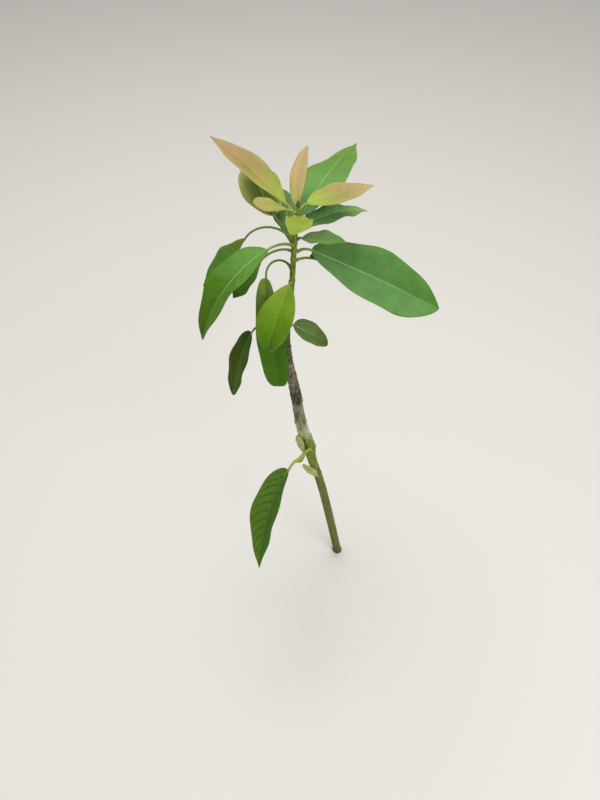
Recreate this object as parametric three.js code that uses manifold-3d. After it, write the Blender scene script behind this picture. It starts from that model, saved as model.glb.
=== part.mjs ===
// A young grafted avocado tree: one slender stem from a flat cut at ground level to its tip, a graft union,
// and each leaf with its petiole as a piece of its own. Millimetres, +Z up, origin at the foot of the stem.
import * as THREE from 'three';
import { mergeVertices } from 'three/addons/utils/BufferGeometryUtils.js';
import Module from 'manifold-3d';

const wasm = await Module();
wasm.setup();

// Stem: height above the ground, sideways lean there and radius there
const stemHeights = [0, 14, 110, 215, 286, 326, 348, 400, 445, 478, 510, 549, 590, 626];
const stemLean = [0, -2, -16, -33, -48.5, -55.5, -58.5, -64, -70.2, -72.2, -70, -66, -63.4, -60.2];
const stemRadii = [7.4, 6.2, 5.9, 5.5, 5.4, 6.2, 5.9, 5.6, 4.9, 4.1, 3.4, 2.6, 2.2, 1.3];
const stemSides = 16;
const stemRings = 48;
// Swellings of the graft union: the callus above it and the shoulder of the rootstock beside the scion
const swellings = [
  { height: 328, azimuth: -70, swell: 1.3, reach: 12 },
  { height: 298, azimuth: 5, swell: 4.2, reach: 22 },
];
const seatGap = 0.3;

// Terminal bud on the tip of the stem
const bud = { radius: 1.7, height: 6.5, sides: 8, profile: [[0, 0], [0.7, 0.02], [1, 0.25], [0.8, 0.6],
  [0.35, 0.9], [0, 1]] };

// Leaves. Each joins the stem at its height, on the side seat, and points to its azimuth (0 is +X, 90 is +Y).
// The petiole starts at the angle rise, ends at the angle lift and turns sideways on the way. The blade bends
// down and swings sideways from there on. Roll tips it about its midrib, fold lifts both its halves, belly is
// where it is widest, and shoulder and point blunt or sharpen its outline towards the base and the tip.
const leafKinds = {
  mature: { colour: 0x4f8a3c, petioleRadius: 1.3, wave: 1.6, shoulder: 0.75, point: 1.1, belly: 0.46 },
  bright: { colour: 0x7fa62d, petioleRadius: 1.1, wave: 1.2, shoulder: 0.72, point: 1.0, belly: 0.48 },
  shaded: { colour: 0x3f6a1c, petioleRadius: 1.1, wave: 1.0, shoulder: 0.72, point: 1.0, belly: 0.46 },
  flush: { colour: 0xc29a5e, petioleRadius: 0.9, wave: 0.5, shoulder: 0.85, point: 1.15, belly: 0.46 },
};
const leaves = [
  { name: 'flush_leaf_left', kind: 'flush', height: 618, azimuth: 138, petiole: 12, rise: 43, lift: 26,
    length: 84, width: 26, bend: 16, swing: 3, roll: -7, fold: 13, belly: 0.47, shoulder: 0.8,
    point: 1.01 },
  { name: 'flush_leaf_upright', kind: 'flush', height: 620, azimuth: 108, petiole: 4, rise: 66,
    lift: 44, turn: -17, length: 50, width: 13, bend: 20, swing: -26, roll: 6, fold: 8, belly: 0.5,
    shoulder: 0.61, point: 0.71 },
  { name: 'flush_leaf_right', kind: 'flush', height: 625, azimuth: 19, petiole: 6, rise: 51, lift: 8,
    turn: 4, length: 59, width: 25, bend: 17, swing: 4, roll: -2, fold: 3, belly: 0.42, shoulder: 0.78,
    point: 0.96 },
  { name: 'flush_leaf_small_left', kind: 'flush', height: 622, azimuth: 199, petiole: 7, rise: 46,
    lift: 24, turn: -2, length: 29, width: 13, bend: 2, swing: -2, roll: 20, fold: 6, belly: 0.63,
    shoulder: 0.79, point: 0.55 },
  { name: 'flush_leaf_front', kind: 'bright', height: 619, azimuth: -113, petiole: 15, rise: 42,
    lift: 30, turn: 40, length: 54, width: 21, bend: 17, swing: -40, roll: 6, fold: 23, belly: 0.56,
    shoulder: 0.73, point: 0.72 },
  { name: 'leaf_back_right', kind: 'mature', height: 607, azimuth: 64, petiole: 9, rise: 52, lift: 21,
    length: 104, width: 47, bend: 30, swing: -5, roll: 20, fold: 2, belly: 0.41, point: 1.28 },
  { name: 'leaf_back', kind: 'mature', height: 587, azimuth: 98, petiole: 10, rise: 15, lift: 2,
    length: 83, width: 27, bend: 12, fold: 10 },
  { name: 'leaf_right_upper', kind: 'mature', height: 605, azimuth: 29, petiole: 4, rise: 42, lift: 13,
    turn: 2, length: 65, width: 23, bend: 41, swing: -1, roll: -1, fold: 6, belly: 0.43, shoulder: 0.52,
    point: 1.11 },
  { name: 'leaf_right_tucked', kind: 'shaded', height: 598, azimuth: -35, petiole: 4, rise: 50,
    lift: 28, length: 42, width: 15, bend: 28, swing: 10, roll: -12, fold: 10 },
  { name: 'leaf_large_right', kind: 'mature', height: 584, azimuth: 4, petiole: 12, rise: 33, lift: -26,
    length: 136, width: 58, bend: 8, swing: -6, roll: -20, fold: 2, belly: 0.56, shoulder: 0.46,
    point: 0.73 },
  { name: 'leaf_large_left', kind: 'mature', height: 592, azimuth: 221, petiole: 27, rise: 39, lift: -1,
    length: 95, width: 37, bend: 73, roll: -9, fold: 18, belly: 0.41, point: 0.8 },
  { name: 'leaf_left_behind', kind: 'shaded', height: 596, azimuth: 176, petiole: 44, rise: 62,
    lift: -55, turn: 10, length: 62, width: 38, bend: -10, roll: 3, fold: 8, belly: 0.58,
    shoulder: 0.78 },
  { name: 'leaf_left_high', kind: 'mature', height: 590, azimuth: 120, petiole: 32, rise: 10, lift: 20,
    length: 76, width: 36, bend: 18, swing: -25, fold: 8, belly: 0.4 },
  { name: 'leaf_front_bright', kind: 'bright', height: 553, azimuth: -114, petiole: 2, rise: 9,
    lift: -33, length: 65, width: 34, bend: 42, swing: -25, roll: 16, fold: 21, belly: 0.53,
    shoulder: 0.68, point: 0.6 },
  { name: 'leaf_front_lower', kind: 'shaded', height: 564, azimuth: 120, petiole: 34.5, rise: 37,
    lift: -68, turn: 155, length: 118, width: 29, bend: 16, swing: 31, roll: -40, fold: 14, belly: 0.55,
    shoulder: 0.3, point: 0.3 },
  { name: 'leaf_left_narrow', kind: 'shaded', height: 502, azimuth: 193, petiole: 35, rise: 40,
    lift: -62, turn: -1, length: 87, width: 28, bend: 22, swing: 14, roll: 12, fold: 4, belly: 0.44,
    shoulder: 0.53, point: 0.55 },
  { name: 'leaf_small_right', kind: 'mature', height: 499, azimuth: -1, petiole: 2, rise: 21, lift: -28,
    length: 41, width: 24, bend: 17, swing: -5, roll: -13, fold: 9, belly: 0.41, shoulder: 0.63,
    point: 0.53 },
  { name: 'leaf_inner_left', kind: 'shaded', height: 586, azimuth: 207, petiole: 28, rise: 37,
    lift: -35, length: 42, width: 24, bend: 27, swing: -5, roll: 7, fold: 7, belly: 0.54 },
  { name: 'leaf_middle_left', kind: 'shaded', height: 500, azimuth: 105, petiole: 9, rise: 30, lift: -5,
    length: 48, width: 26, bend: 25, fold: 10 },
  { name: 'leaf_middle_right', kind: 'mature', height: 574, azimuth: 30, petiole: 14, rise: 0,
    lift: -24, length: 72, width: 28, bend: 12, fold: 10 },
  { name: 'leaf_graft_hanging', kind: 'mature', height: 302, seat: -60, azimuth: -157, petiole: 37,
    petioleRadius: 2, rise: -17, lift: -40, turn: 25, length: 136, width: 50, bend: 17, swing: 37,
    roll: -31, fold: 20, belly: 0.37, shoulder: 0.69, point: 1.08 },
];

// Bark flaps of the graft: tongues that follow the rule of the blades, without a petiole
const flapKind = { colour: 0xb4b860, petiole: 1, petioleRadius: 1.2, wave: 0, fold: 0, thickness: 2.4 };
const flaps = [
  { name: 'graft_flap_upper', height: 292, seat: -134, azimuth: 190, rise: 80, length: 35, width: 11.5,
    bend: -4, swing: 15, roll: -42, belly: 0.5, shoulder: 0.56, point: 0.44, petioleRadius: 2.7 },
  { name: 'graft_flap_lower', height: 234, seat: -82, azimuth: 187, rise: 64, length: 39, width: 10,
    bend: 6, swing: 10, roll: 86, belly: 0.5, shoulder: 0.7, point: 0.55 },
];

// Steps of the meshes, and of the walk along a midline
const bladeSteps = 14;
const bladeLanes = 4;
const petioleSides = 6;
const petioleSteps = 8;
const walkSteps = 24;

// Shares and sizes that all leaves have in common: the petiole runs on as a rib under the blade's base
const ribReach = 0.3;
const ribTipShare = 0.5;
const tipHalfWidth = 0.5;
const waves = 2.5;
const leastThickness = 0.9;
const thicknessShare = 0.0115;

// Value at x of the smooth line through the given places, with each slope set by the two neighbours
function smoothAt(places, values, x) {
  const last = places.length - 1;
  const inside = Math.min(Math.max(x, places[0]), places[last]);
  let i = 0;
  while (i < last - 1 && inside >= places[i + 1]) i += 1;
  const slope = (k) => {
    const a = Math.max(k - 1, 0);
    const b = Math.min(k + 1, last);
    return (values[b] - values[a]) / (places[b] - places[a]);
  };
  const span = places[i + 1] - places[i];
  const t = (inside - places[i]) / span;
  const start = (2 * t ** 3 - 3 * t ** 2 + 1) * values[i] + (t ** 3 - 2 * t ** 2 + t) * span * slope(i);
  const end = (3 * t ** 2 - 2 * t ** 3) * values[i + 1] + (t ** 3 - t ** 2) * span * slope(i + 1);
  return start + end;
}

const radians = THREE.MathUtils.degToRad;
const stemRadius = (height) => smoothAt(stemHeights, stemRadii, height);
const stemPoint = (height) => new THREE.Vector3(smoothAt(stemHeights, stemLean, height), 0, height);
const level = (azimuth) => new THREE.Vector3(Math.cos(azimuth), Math.sin(azimuth), 0);

// Radius of the stem on one side, with the swellings of the graft union
function barkRadius(height, azimuth) {
  let radius = stemRadius(height);
  for (const { height: middle, azimuth: side, swell, reach } of swellings) {
    const away = (height - middle) / reach;
    radius += swell * Math.max(0, Math.cos(azimuth - radians(side))) * Math.exp(-away * away);
  }
  return radius;
}

// Moves every vertex of a closed geometry to where the function puts it
function bent(geometry, place) {
  geometry.deleteAttribute('normal');
  geometry.deleteAttribute('uv');
  const closed = mergeVertices(geometry, 1e-4);
  const position = closed.getAttribute('position');
  const point = new THREE.Vector3();
  for (let i = 0; i < position.count; i += 1) {
    point.fromBufferAttribute(position, i);
    place(point);
    position.setXYZ(i, point.x, point.y, point.z);
  }
  return closed;
}

function solidOf(geometry) {
  const mesh = new wasm.Mesh({
    numProp: 3,
    vertProperties: Float32Array.from(geometry.getAttribute('position').array),
    triVerts: Uint32Array.from(geometry.index.array),
  });
  return new wasm.Manifold(mesh);
}

function geometryOf(solid) {
  const mesh = solid.getMesh();
  const geometry = new THREE.BufferGeometry();
  geometry.setAttribute('position', new THREE.BufferAttribute(mesh.vertProperties, 3));
  geometry.setIndex(new THREE.BufferAttribute(mesh.triVerts, 1));
  return geometry;
}

function named(name, geometry, colour, roughness) {
  const material = new THREE.MeshStandardMaterial({ color: colour, roughness, metalness: 0 });
  const mesh = new THREE.Mesh(geometry, material);
  mesh.name = name;
  return mesh;
}

// Stem, from the flat cut at the ground to its tip
function trunk() {
  const height = stemHeights[stemHeights.length - 1];
  const column = new THREE.CylinderGeometry(1, 1, height, stemSides, stemRings);
  column.rotateX(Math.PI / 2);
  column.translate(0, 0, height / 2);
  const shape = bent(column, (point) => {
    const azimuth = Math.atan2(point.y, point.x);
    const share = Math.hypot(point.x, point.y);
    const out = level(azimuth).multiplyScalar(share * barkRadius(point.z, azimuth));
    point.copy(stemPoint(point.z)).add(out);
  });
  return named('trunk', shape, 0x8a8a3c, 0.75);
}

function terminalBud() {
  const points = bud.profile.map(([r, z]) => new THREE.Vector2(r * bud.radius, z * bud.height));
  const shape = new THREE.LatheGeometry(points, bud.sides);
  shape.rotateX(Math.PI / 2);
  const foot = stemPoint(stemHeights[stemHeights.length - 1]);
  const closed = bent(shape, (point) => point.add(foot).add(new THREE.Vector3(0, 0, seatGap)));
  return named('terminal_bud', closed, 0x4a5a22, 0.7);
}

// Half-width of a blade at the share t of its length
function halfWidth(leaf, t) {
  const power = Math.log(0.5) / Math.log(leaf.belly);
  const sharpness = THREE.MathUtils.lerp(leaf.shoulder, leaf.point, t);
  const bulge = Math.sin(Math.PI * Math.min(1, Math.max(0, t)) ** power);
  return tipHalfWidth + (leaf.width / 2 - tipHalfWidth) * Math.max(0, bulge) ** sharpness;
}

// Distance from the stem's axis to the middle of the petiole's end, whose rim just clears the bark
function rootDistance(leaf) {
  const tilt = Math.abs(Math.sin(radians(leaf.rise)));
  const slant = Math.abs(Math.sin(radians(leaf.azimuth - leaf.seat)));
  return barkRadius(leaf.height, radians(leaf.seat)) + seatGap + leaf.petioleRadius * Math.max(tilt, slant);
}

// Place and axes of a leaf's midline at the distance s from the root of its petiole
function midline(leaf, s) {
  const place = stemPoint(leaf.height).addScaledVector(level(radians(leaf.seat)), rootDistance(leaf));
  const heading = (along) => {
    const p = Math.min(1, along / leaf.petiole);
    const t = Math.max(0, (along - leaf.petiole) / leaf.length);
    const climb = radians(THREE.MathUtils.lerp(leaf.rise, leaf.lift, p) - leaf.bend * t);
    const azimuth = radians(leaf.azimuth + leaf.turn * p + leaf.swing * t);
    const tangent = level(azimuth).multiplyScalar(Math.cos(climb)).setZ(Math.sin(climb));
    const side = new THREE.Vector3(Math.sin(azimuth), -Math.cos(azimuth), 0);
    return { tangent, side, p };
  };
  for (let i = 0; i < walkSteps; i += 1) {
    place.addScaledVector(heading((i + 0.5) * s / walkSteps).tangent, s / walkSteps);
  }
  const { tangent, side, p } = heading(s);
  side.applyAxisAngle(tangent, -radians(leaf.roll) * p);
  return { place, tangent, side, normal: new THREE.Vector3().crossVectors(side, tangent) };
}

function blade(leaf) {
  const slab = new THREE.BoxGeometry(1, 2, leaf.thickness, bladeSteps, bladeLanes, 1);
  return bent(slab, (point) => {
    const t = point.x + 0.5;
    const line = midline(leaf, leaf.petiole + t * leaf.length);
    const across = -point.y * halfWidth(leaf, t);
    const ripple = leaf.wave * Math.sin(2 * Math.PI * waves * t) * point.y ** 2 * Math.sin(Math.PI * t);
    const lifted = Math.abs(across) * Math.sin(radians(leaf.fold)) + ripple + point.z;
    point.copy(line.place);
    point.addScaledVector(line.side, across * Math.cos(radians(leaf.fold)));
    point.addScaledVector(line.normal, lifted);
  });
}

function petiole(leaf) {
  const reach = leaf.petiole + ribReach * leaf.length;
  const rod = new THREE.CylinderGeometry(1, 1, reach, petioleSides, petioleSteps);
  rod.rotateX(Math.PI / 2);
  rod.translate(0, 0, reach / 2);
  return bent(rod, (point) => {
    const line = midline(leaf, point.z);
    const radius = leaf.petioleRadius * THREE.MathUtils.lerp(1, ribTipShare, point.z / reach);
    const across = -point.x * radius;
    const lifted = point.y * radius;
    point.copy(line.place).addScaledVector(line.side, across).addScaledVector(line.normal, lifted);
  });
}

function leafPiece(sizes) {
  const thickness = Math.max(leastThickness, thicknessShare * sizes.length);
  const usual = { seat: sizes.azimuth, turn: 0, swing: 0, roll: 0, thickness };
  const leaf = { ...usual, ...leafKinds[sizes.kind], ...sizes };
  const whole = solidOf(blade(leaf)).add(solidOf(petiole(leaf)));
  return named(leaf.name, geometryOf(whole), leaf.colour, 0.5);
}

function flapPiece(sizes) {
  const flap = { turn: 0, lift: sizes.rise, ...flapKind, ...sizes };
  return named(flap.name, blade(flap), flap.colour, 0.7);
}

const group = new THREE.Group();
group.add(trunk(), terminalBud());
for (const sizes of flaps) group.add(flapPiece(sizes));
for (const sizes of leaves) group.add(leafPiece(sizes));

export default group;
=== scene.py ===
# Looks of a young grafted avocado tree: bark with relief, fine leaves with veins, soft light.
# Lengths are in millimetres in the tables, and become metres where a mesh is made.
import math

import bmesh
import bpy
from mathutils import Matrix, Vector, noise


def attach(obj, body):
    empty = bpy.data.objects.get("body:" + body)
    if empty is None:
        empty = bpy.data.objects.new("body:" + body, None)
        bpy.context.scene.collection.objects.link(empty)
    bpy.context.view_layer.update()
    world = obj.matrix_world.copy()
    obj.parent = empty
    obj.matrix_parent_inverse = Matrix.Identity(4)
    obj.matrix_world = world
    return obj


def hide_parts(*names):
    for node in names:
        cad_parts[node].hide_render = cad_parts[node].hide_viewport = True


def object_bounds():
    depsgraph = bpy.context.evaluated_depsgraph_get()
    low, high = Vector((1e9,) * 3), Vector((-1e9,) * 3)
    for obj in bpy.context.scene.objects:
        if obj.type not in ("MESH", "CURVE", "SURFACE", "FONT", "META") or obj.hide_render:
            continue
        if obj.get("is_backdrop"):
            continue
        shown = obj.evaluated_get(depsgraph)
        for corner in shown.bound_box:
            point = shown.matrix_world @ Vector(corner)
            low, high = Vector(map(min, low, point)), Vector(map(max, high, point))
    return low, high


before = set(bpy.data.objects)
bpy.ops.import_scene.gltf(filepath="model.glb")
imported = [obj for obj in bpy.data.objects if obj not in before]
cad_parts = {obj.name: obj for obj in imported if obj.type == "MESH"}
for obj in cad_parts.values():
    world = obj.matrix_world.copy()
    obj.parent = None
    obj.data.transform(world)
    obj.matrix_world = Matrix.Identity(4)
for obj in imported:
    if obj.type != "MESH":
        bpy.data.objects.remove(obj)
cadLow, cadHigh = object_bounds()
millimetre = 0.001
print("frame loaded")

# Stem sizes, the same as those of the solids
stem = {
    "heights": [0, 14, 110, 215, 286, 326, 348, 400, 445, 478, 510, 549, 590, 626],
    "lean": [0, -2, -16, -33, -48.5, -55.5, -58.5, -64, -70.2, -72.2, -70, -66, -63.4, -60.2],
    "radii": [7.4, 6.2, 5.9, 5.5, 5.4, 6.2, 5.9, 5.6, 4.9, 4.1, 3.4, 2.6, 2.2, 1.3],
    "swellings": [
        {"height": 328, "azimuth": -70, "swell": 1.3, "reach": 12},
        {"height": 298, "azimuth": 5, "swell": 4.2, "reach": 22},
    ],
    "seatGap": 0.3,
    "sides": 72,
    "rings": 700,
    # share of the full bark relief at each height
    "roughHeights": [0, 30, 205, 236, 330, 350, 470, 500, 626],
    "rough": [0.3, 0.2, 0.25, 1.15, 1.15, 1.1, 0.9, 0.3, 0.15],
    # rings left by leaves and bud scales: height, swell, reach
    "nodeRings": [
        (345, 1.2, 2.2), (355, 0.5, 1.8), (392, 0.5, 2.4), (428, 0.5, 2.6), (470, 0.45, 2.4),
        (499, 0.4, 2.2), (529, 0.35, 2.0), (552, 0.5, 2.2), (576, 0.35, 1.8), (592, 0.45, 1.8),
        (606, 0.3, 1.4), (618, 0.3, 1.2),
    ],
    # knobs and stubs: height, azimuth, how far out, reach
    "knobs": [
        (385, -12, 1.4, 3.0), (331, -92, 1.3, 4.2), (336, -30, 1.2, 3.6), (317, -18, 1.8, 3.6),
        (340, -130, 0.9, 3.0), (294, -24, 1.7, 2.6), (306, -52, 0.9, 2.4), (284, -48, 0.7, 2.2),
        (275, -30, 0.8, 2.0), (262, -30, 0.8, 3.4), (241, 150, 0.9, 3.5), (404, 120, 0.9, 3.0),
        (436, -150, 0.8, 2.6), (360, -88, 0.8, 3.4), (349, -75, 0.7, 2.6), (160, 80, 0.6, 3.0),
        (291, -134, 1.3, 4.2), (233, -82, 1.2, 4.0),
    ],
    # cuts and cracks of the graft: height, azimuth, reach up and down, spread around, slant, depth
    "cuts": [
        (315, -142, 1.0, 42, 0.0, 1.0), (300, -104, 11, 11, 0.0, 1.5), (294, -24, 0.9, 8, 0.0, 1.3),
        (276, -60, 7, 8, 0.5, 0.8), (256, -84, 9, 9, 0.6, 0.8), (354, -90, 0.8, 60, 0.0, 0.6),
        (344, -90, 0.8, 70, 0.0, 0.7), (358, -48, 8, 8, 0.0, 0.6), (325, -50, 4, 9, 2.0, 0.6),
    ],
    # noises of the bark: scale across, scale along, offset, share
    "grain": [(0.55, 0.07, 0, 0.45), (0.42, 0.36, 40, 0.55), (0.7, 0.45, 90, 0.2)],
    # the tip closes over its last stretch; rings tilt, and each has a groove above it
    "tipHeight": 1.5, "tipShare": 0.25, "ringTilt": 1.2,
    "grooveDepth": 0.45, "groovePlace": 1.5, "grooveReach": 0.5,
    # knobs and cuts end at this many reaches
    "cutoff": 3,
}

# Tones of leaf, stalk and bark, from the youngest tissue to the oldest; shade and groove are dark tones
# for painted shade
tones = {
    "copper": "b3946c", "sand": "c4ad78", "antique": "9a8f4e", "rose": "a9745a", "bronze": "a69a5c",
    "honey": "aeae5e", "youngLime": "98aa3c", "lime": "8fa52e", "yellowGreen": "96b63a",
    "vivid": "74a421", "straw": "a3a85a", "paleGreen": "8fae62", "mint": "73a562", "ribPale": "97bd70",
    "fresh": "6b9a44", "freshOlive": "6d8f34", "sage": "6d8a4c", "leafGreen": "578442",
    "grass": "4f8029", "bright": "7a9c30", "deep": "497814", "dark": "3c6a0a", "softOlive": "5a7530",
    "olive": "4c6414", "darkOlive": "44540c", "shade": "345008", "groove": "274010",
    "footShade": "57543a", "rootOlive": "6a6829", "rootYellow": "73722c", "graftOlive": "6e7429",
    "graftGreen": "7d9426", "graftLime": "909d46", "callusPale": "b9bd94", "scionGrey": "868669",
    "scionDark": "40372a", "scionBrown": "706454", "scionOlive": "4f5430", "shootDark": "5b6d20",
    "shootGreen": "788b27", "shootLime": "82963a", "barkPale": "a8aa78", "cutPale": "cccb8c",
    "cutLime": "b4bd6a", "cutOlive": "a3a054", "crack": "2f3012", "lobeGreen": "8aa436",
    "cutLemon": "bfc672", "mossy": "87a044", "tan": "b0a46c", "rind": "77683a",
}

# What every leaf of a kind has in common
leafKinds = {
    "mature": {"petioleRadius": 1.3, "wave": 1.6, "shoulder": 0.75, "point": 1.1,
               "slot": "leaf_mature", "crease": 1.0, "gloss": 0.14},
    "bright": {"petioleRadius": 1.1, "wave": 1.2, "shoulder": 0.72, "point": 1.0, "belly": 0.48,
               "slot": "leaf_bright", "crease": 0.6, "gloss": 0.12},
    "shaded": {"petioleRadius": 1.1, "wave": 1.0, "shoulder": 0.72, "point": 1.0,
               "slot": "leaf_shaded", "crease": 0.6, "gloss": 0.07},
    "flush": {"petioleRadius": 0.9, "wave": 0.5, "shoulder": 0.85, "point": 1.15,
              "slot": "leaf_flush", "crease": 0.4, "gloss": 0.18, "blush": 0.5, "veinShow": 0.35},
}

# Sizes and looks of each leaf: tones are those of base, middle, tip, margin and veins, and a half is
# left or right of the midrib, looking from the base to the tip
leaves = {
    "flush_leaf_left": {"kind": "flush", "height": 618, "azimuth": 138, "petiole": 12, "rise": 43,
        "lift": 26, "length": 84, "width": 26, "bend": 16, "swing": 3, "roll": -7, "fold": 13,
        "belly": 0.47, "shoulder": 0.8, "point": 1.01,
        "tones": ["youngLime", "antique", "copper", "honey", "straw"]},
    "flush_leaf_upright": {"kind": "flush", "height": 620, "azimuth": 108, "petiole": 4, "rise": 66,
        "lift": 44, "turn": -17, "length": 50, "width": 13, "bend": 20, "swing": -26, "roll": 6,
        "fold": 8, "belly": 0.5, "shoulder": 0.61, "point": 0.71,
        "tones": ["honey", "sand", "sand", "bronze", "bronze"], "blush": 0.35},
    "flush_leaf_right": {"kind": "flush", "height": 625, "azimuth": 19, "petiole": 6, "rise": 51,
        "lift": 8, "turn": 4, "length": 59, "width": 25, "bend": 17, "swing": 4, "roll": -2, "fold": 3,
        "belly": 0.42, "shoulder": 0.78, "point": 0.96,
        "tones": ["yellowGreen", "bronze", "sand", "honey", "straw"]},
    "flush_leaf_small_left": {"kind": "flush", "height": 622, "azimuth": 199, "petiole": 7, "rise": 46,
        "lift": 24, "turn": -2, "length": 29, "width": 13, "bend": 2, "swing": -2, "roll": 20,
        "fold": 6, "belly": 0.63, "shoulder": 0.79, "point": 0.55,
        "tones": ["youngLime", "honey", "honey", "bronze", "straw"]},
    "flush_leaf_front": {"kind": "bright", "height": 619, "azimuth": -113, "petiole": 15, "rise": 42,
        "lift": 30, "turn": 40, "length": 54, "width": 21, "bend": 17, "swing": -40, "roll": 6,
        "fold": 23, "belly": 0.56, "shoulder": 0.73, "point": 0.72,
        "tones": ["lime", "youngLime", "lime", "straw", "straw"], "foldRadius": 5},
    "leaf_back_right": {"kind": "mature", "height": 607, "azimuth": 64, "petiole": 9, "rise": 52,
        "lift": 21, "length": 104, "width": 47, "bend": 30, "swing": -5, "roll": 20, "fold": 2,
        "belly": 0.41, "point": 1.28, "tones": ["mint", "fresh", "freshOlive", "fresh", "paleGreen"]},
    "leaf_back": {"kind": "mature", "height": 587, "azimuth": 98, "petiole": 10, "rise": 15, "lift": 2,
        "length": 83, "width": 27, "bend": 12, "fold": 10,
        "tones": ["leafGreen", "sage", "leafGreen", "fresh", "paleGreen"]},
    "leaf_right_upper": {"kind": "mature", "height": 605, "azimuth": 29, "petiole": 4, "rise": 42,
        "lift": 13, "turn": 2, "length": 65, "width": 23, "bend": 41, "swing": -1, "roll": -1,
        "fold": 6, "belly": 0.43, "shoulder": 0.52, "point": 1.11,
        "tones": ["mint", "mint", "paleGreen", "sage", "paleGreen"]},
    "leaf_right_tucked": {"kind": "shaded", "height": 598, "azimuth": -35, "petiole": 4, "rise": 50,
        "lift": 28, "length": 42, "width": 15, "bend": 28, "swing": 10, "roll": -12, "fold": 10,
        "tones": ["sage", "sage", "leafGreen", "sage", "paleGreen"]},
    # its right half is painted lighter: a painted sheen where that half faces the light
    "leaf_large_right": {"kind": "mature", "height": 584, "azimuth": 4, "petiole": 12, "rise": 33,
        "lift": -26, "length": 136, "width": 58, "bend": 8, "swing": -6, "roll": -20, "fold": 2,
        "belly": 0.56, "shoulder": 0.46, "point": 0.73, "crease": 3.2,
        "tones": ["leafGreen", "leafGreen", "grass", "fresh", "mint"], "rightHalf": ("mint", 0.45),
        "veinShow": 0.12},
    # its left half is painted lighter: a painted sheen where that half faces the light
    "leaf_large_left": {"kind": "mature", "height": 592, "azimuth": 221, "petiole": 27, "rise": 39,
        "lift": -1, "length": 95, "width": 37, "bend": 73, "roll": -9, "fold": 18, "belly": 0.41,
        "point": 0.8, "tones": ["fresh", "deep", "olive", "grass", "fresh"],
        "leftHalf": ("fresh", 0.3)},
    "leaf_left_behind": {"kind": "shaded", "height": 596, "azimuth": 176, "petiole": 44, "rise": 62,
        "lift": -55, "turn": 10, "length": 62, "width": 38, "bend": -10, "roll": 3, "fold": 8,
        "belly": 0.58, "shoulder": 0.78, "tones": ["freshOlive", "grass", "grass", "sage", "fresh"]},
    # painted shadow and light: the dark body is the painted shadow of the young leaves above, and the
    # wide pale margin a painted lit rim
    "leaf_left_high": {"kind": "mature", "height": 590, "azimuth": 120, "petiole": 32, "rise": 10,
        "lift": 20, "length": 76, "width": 36, "bend": 18, "swing": -25, "fold": 8, "belly": 0.4,
        "tones": ["darkOlive", "darkOlive", "honey", "honey", "softOlive"], "marginShow": 1.0,
        "marginReach": 2.8, "stalk": "shaded"},
    "leaf_front_bright": {"kind": "bright", "height": 553, "azimuth": -114, "petiole": 2, "rise": 9,
        "lift": -33, "length": 65, "width": 34, "bend": 42, "swing": -25, "roll": 16, "fold": 21,
        "belly": 0.53, "shoulder": 0.68, "point": 0.6,
        "tones": ["yellowGreen", "vivid", "deep", "bright", "yellowGreen"], "veinSweep": 0.42,
        "veinPairs": 7},
    "leaf_front_lower": {"kind": "shaded", "height": 564, "azimuth": 120, "petiole": 34.5, "rise": 37,
        "lift": -68, "turn": 155, "length": 118, "width": 29, "bend": 16, "swing": 31, "roll": -40,
        "fold": 14, "belly": 0.55, "shoulder": 0.3, "point": 0.3,
        "tones": ["mossy", "deep", "deep", "deep", "softOlive"]},
    "leaf_left_narrow": {"kind": "shaded", "height": 502, "azimuth": 193, "petiole": 35, "rise": 40,
        "lift": -62, "turn": -1, "length": 87, "width": 28, "bend": 22, "swing": 14, "roll": 12,
        "fold": 4, "belly": 0.44, "shoulder": 0.53, "point": 0.55,
        "tones": ["shade", "darkOlive", "darkOlive", "shade", "olive"], "leftHalf": ("deep", 0.45)},
    "leaf_small_right": {"kind": "mature", "height": 499, "azimuth": -1, "petiole": 2, "rise": 21,
        "lift": -28, "length": 41, "width": 24, "bend": 17, "swing": -5, "roll": -13, "fold": 9,
        "belly": 0.41, "shoulder": 0.63, "point": 0.53, "wave": 0.5,
        "tones": ["sage", "sage", "softOlive", "freshOlive", "freshOlive"]},
    # painted light and shade: lit at the base, dark towards the tip with the painted shadow of the leaf
    # above
    "leaf_inner_left": {"kind": "shaded", "height": 586, "azimuth": 207, "petiole": 28, "rise": 37,
        "lift": -35, "length": 42, "width": 24, "bend": 27, "swing": -5, "roll": 7, "fold": 7,
        "belly": 0.54, "tones": ["fresh", "grass", "shade", "deep", "fresh"]},
    "leaf_middle_left": {"kind": "shaded", "height": 500, "azimuth": 105, "petiole": 9, "rise": 30,
        "lift": -5, "length": 48, "width": 26, "bend": 25, "fold": 10,
        "tones": ["grass", "deep", "dark", "grass", "fresh"]},
    "leaf_middle_right": {"kind": "mature", "height": 574, "azimuth": 30, "petiole": 14, "rise": 0,
        "lift": -24, "length": 72, "width": 28, "bend": 12, "fold": 10,
        "tones": ["grass", "grass", "leafGreen", "fresh", "fresh"]},
    # painted shade and light: the dark groove tone on the side veins is painted shade between the quilted
    # bulges, and the right half is painted lighter where light falls
    "leaf_graft_hanging": {"kind": "mature", "height": 302, "seat": -60, "azimuth": -157, "petiole": 37,
        "petioleRadius": 2, "rise": -17, "lift": -40, "turn": 25, "length": 136, "width": 50,
        "bend": 17, "swing": 37, "roll": -31, "fold": 20, "belly": 0.37, "shoulder": 0.69,
        "point": 1.08, "stalk": "graft", "tones": ["grass", "deep", "deep", "softOlive", "groove"],
        "rib": "sage", "rightHalf": ("freshOlive", 0.45), "quilt": 0.9, "veinShow": 0.5,
        "veinWidth": 0.3, "veinPairs": 12, "wander": 0.5,
        "lobe": {"start": 4, "end": 27, "drop": (0.5, -2.4, -4.4), "swell": 2.8}},
}

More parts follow.
